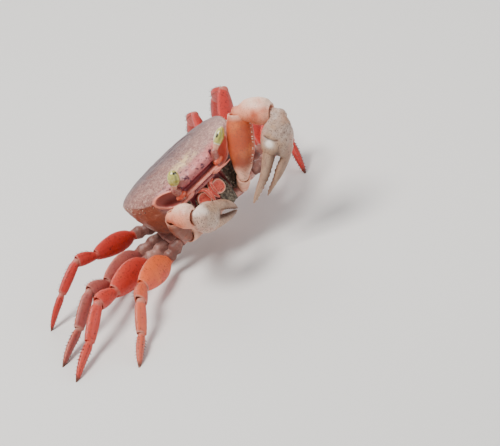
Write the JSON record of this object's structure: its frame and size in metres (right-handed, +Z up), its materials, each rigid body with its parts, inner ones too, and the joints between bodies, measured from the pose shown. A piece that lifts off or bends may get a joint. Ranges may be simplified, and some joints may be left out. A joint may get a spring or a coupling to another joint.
{
  "type": "land crab model",
  "caption": "Life-size still model of a half-grown blue land crab in violet and orange colours, left side raised and both claws held to its mouth.",
  "frame": {"origin": "on the floor, under the middle of the whole crab's box", "axes": "+X to the crab's left, +Y towards its back, +Z up from the floor it stands on"},
  "size_m": [0.1416, 0.1372, 0.0601],
  "materials": {
    "shell": "satin",
    "belly": "satin",
    "mouth": "satin",
    "eye": "gloss",
    "leg": "satin",
    "foot": "satin",
    "arm": "satin",
    "claw": "satin"
  },
  "bodies": {
    "root": {"abdomen": "belly", "antenna_left": "mouth", "antenna_right": "mouth", "carapace": "shell", "eye_left": "eye", "eye_right": "eye", "eyestalk_left": "arm", "eyestalk_right": "arm", "left_claw_carpus": "arm", "left_claw_finger": "claw", "left_claw_ischium": "arm", "left_claw_merus": "arm", "left_claw_palm": "claw", "left_leg_2_carpus": "leg", "left_leg_2_dactyl": "foot", "left_leg_2_merus": "leg", "left_leg_2_propodus": "leg", "left_leg_3_carpus": "leg", "left_leg_3_dactyl": "foot", "left_leg_3_merus": "leg", "left_leg_3_propodus": "leg", "left_leg_4_carpus": "leg", "left_leg_4_dactyl": "foot", "left_leg_4_merus": "leg", "left_leg_4_propodus": "leg", "left_leg_5_carpus": "leg", "left_leg_5_dactyl": "foot", "left_leg_5_merus": "leg", "left_leg_5_propodus": "leg", "maxilliped_left": "mouth", "maxilliped_right": "mouth", "right_claw_carpus": "arm", "right_claw_finger": "claw", "right_claw_ischium": "arm", "right_claw_merus": "arm", "right_claw_palm": "claw", "right_leg_2_carpus": "leg", "right_leg_2_dactyl": "foot", "right_leg_2_merus": "leg", "right_leg_2_propodus": "leg", "right_leg_3_carpus": "leg", "right_leg_3_dactyl": "foot", "right_leg_3_merus": "leg", "right_leg_3_propodus": "leg", "right_leg_4_carpus": "leg", "right_leg_4_dactyl": "foot", "right_leg_4_merus": "leg", "right_leg_4_propodus": "leg", "right_leg_5_carpus": "leg", "right_leg_5_dactyl": "foot", "right_leg_5_merus": "leg", "right_leg_5_propodus": "leg", "sternum": "belly"}
  },
  "joints": []
}
